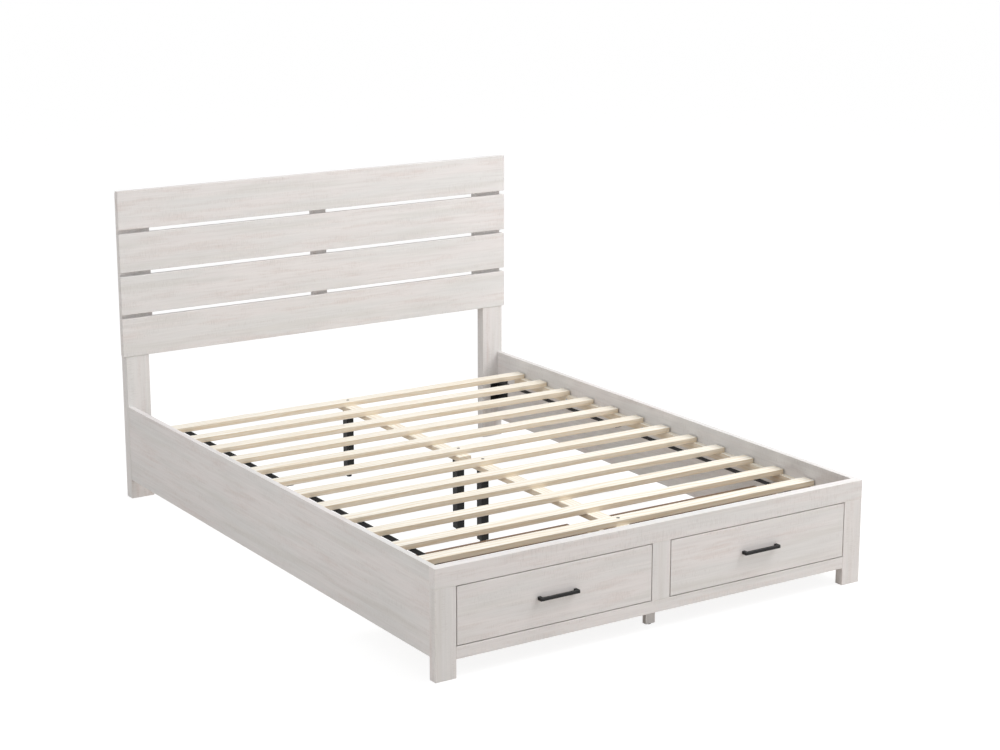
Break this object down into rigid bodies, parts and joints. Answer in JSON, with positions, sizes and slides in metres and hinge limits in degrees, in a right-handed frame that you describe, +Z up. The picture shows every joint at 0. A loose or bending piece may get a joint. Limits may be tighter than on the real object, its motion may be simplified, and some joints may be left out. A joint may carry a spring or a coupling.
{
  "type": "bed frame",
  "caption": "Whitewashed wooden storage bed frame with a plank headboard, a slatted deck on steel centre legs, and sliding drawers in the footboard.",
  "frame": {"origin": "on the floor, in the middle of the whole bed, drawer pulls included", "axes": "+Z up, +Y from the foot of the bed to the headboard, +X to the right for someone standing at the foot"},
  "size_m": [1.62, 2.18, 1.125],
  "materials": {
    "whitewashed_wood": "whitewashed, matt",
    "pine": "planed, matt",
    "drawer_pine": "stained brown, matt",
    "hardboard": "matt",
    "beech": "matt",
    "black_steel": "black powder coat, satin",
    "zinc_steel": "zinc plated",
    "black_webbing": "woven",
    "black_plastic": "moulded, matt"
  },
  "bodies": {
    "frame": {"centre_rail_foot": "pine", "centre_rail_head": "pine", "corner_bolts": "black_steel", "corner_brackets": "black_steel", "dowels": "beech", "floor_glides": "black_plastic", "footboard_bottom_rail": "whitewashed_wood", "footboard_centre_leg": "whitewashed_wood", "footboard_leg_left": "whitewashed_wood", "footboard_leg_right": "whitewashed_wood", "footboard_mid_stile": "whitewashed_wood", "footboard_top_rail": "whitewashed_wood", "frame_screws": "zinc_steel", "headboard_join_plates": "black_steel", "headboard_leg_left": "whitewashed_wood", "headboard_leg_right": "whitewashed_wood", "headboard_plank_1": "whitewashed_wood", "headboard_plank_2": "whitewashed_wood", "headboard_plank_3": "whitewashed_wood", "headboard_plank_4": "whitewashed_wood", "headboard_screws": "zinc_steel", "headboard_stile_centre": "whitewashed_wood", "headboard_stile_left": "whitewashed_wood", "headboard_stile_right": "whitewashed_wood", "ledger_left": "pine", "ledger_right": "pine", "runner_back_rail": "pine", "runner_panel_left_inner": "pine", "runner_panel_left_outer": "pine", "runner_panel_right_inner": "pine", "runner_panel_right_outer": "pine", "side_rail_left": "whitewashed_wood", "side_rail_right": "whitewashed_wood", "slat_straps": "black_webbing", "slats_foot": "pine", "slats_head": "pine", "slide_cabinet_left": "zinc_steel", "slide_cabinet_right": "zinc_steel", "support_leg_bolts": "black_steel", "support_legs_foot": "black_steel", "support_legs_head": "black_steel"},
    "drawer_left": {"drawer_left_back": "drawer_pine", "drawer_left_bottom": "hardboard", "drawer_left_front": "whitewashed_wood", "drawer_left_pull": "black_steel", "drawer_left_screws": "zinc_steel", "drawer_left_side_inner": "drawer_pine", "drawer_left_side_outer": "drawer_pine", "slide_drawer_left": "zinc_steel"},
    "drawer_right": {"drawer_right_back": "drawer_pine", "drawer_right_bottom": "hardboard", "drawer_right_front": "whitewashed_wood", "drawer_right_pull": "black_steel", "drawer_right_screws": "zinc_steel", "drawer_right_side_inner": "drawer_pine", "drawer_right_side_outer": "drawer_pine", "slide_drawer_right": "zinc_steel"},
    "slide_middle_left": {"slide_middle_left": "zinc_steel"},
    "slide_middle_right": {"slide_middle_right": "zinc_steel"}
  },
  "joints": [
    {"name": "drawer_left_slide", "type": "slide", "parent": "frame", "child": "drawer_left", "axis": [0, -1, 0], "range_m": [0, 0.38]},
    {"name": "slide_middle_left_travel", "type": "slide", "parent": "frame", "child": "slide_middle_left", "axis": [0, -1, 0], "range_m": [0, 0.19]},
    {"name": "drawer_right_slide", "type": "slide", "parent": "frame", "child": "drawer_right", "axis": [0, -1, 0], "range_m": [0, 0.38]},
    {"name": "slide_middle_right_travel", "type": "slide", "parent": "frame", "child": "slide_middle_right", "axis": [0, -1, 0], "range_m": [0, 0.19]}
  ],
  "couplings": [
    {"joint": "slide_middle_left_travel", "follows": "drawer_left_slide", "ratio": 0.5},
    {"joint": "slide_middle_right_travel", "follows": "drawer_right_slide", "ratio": 0.5}
  ]
}
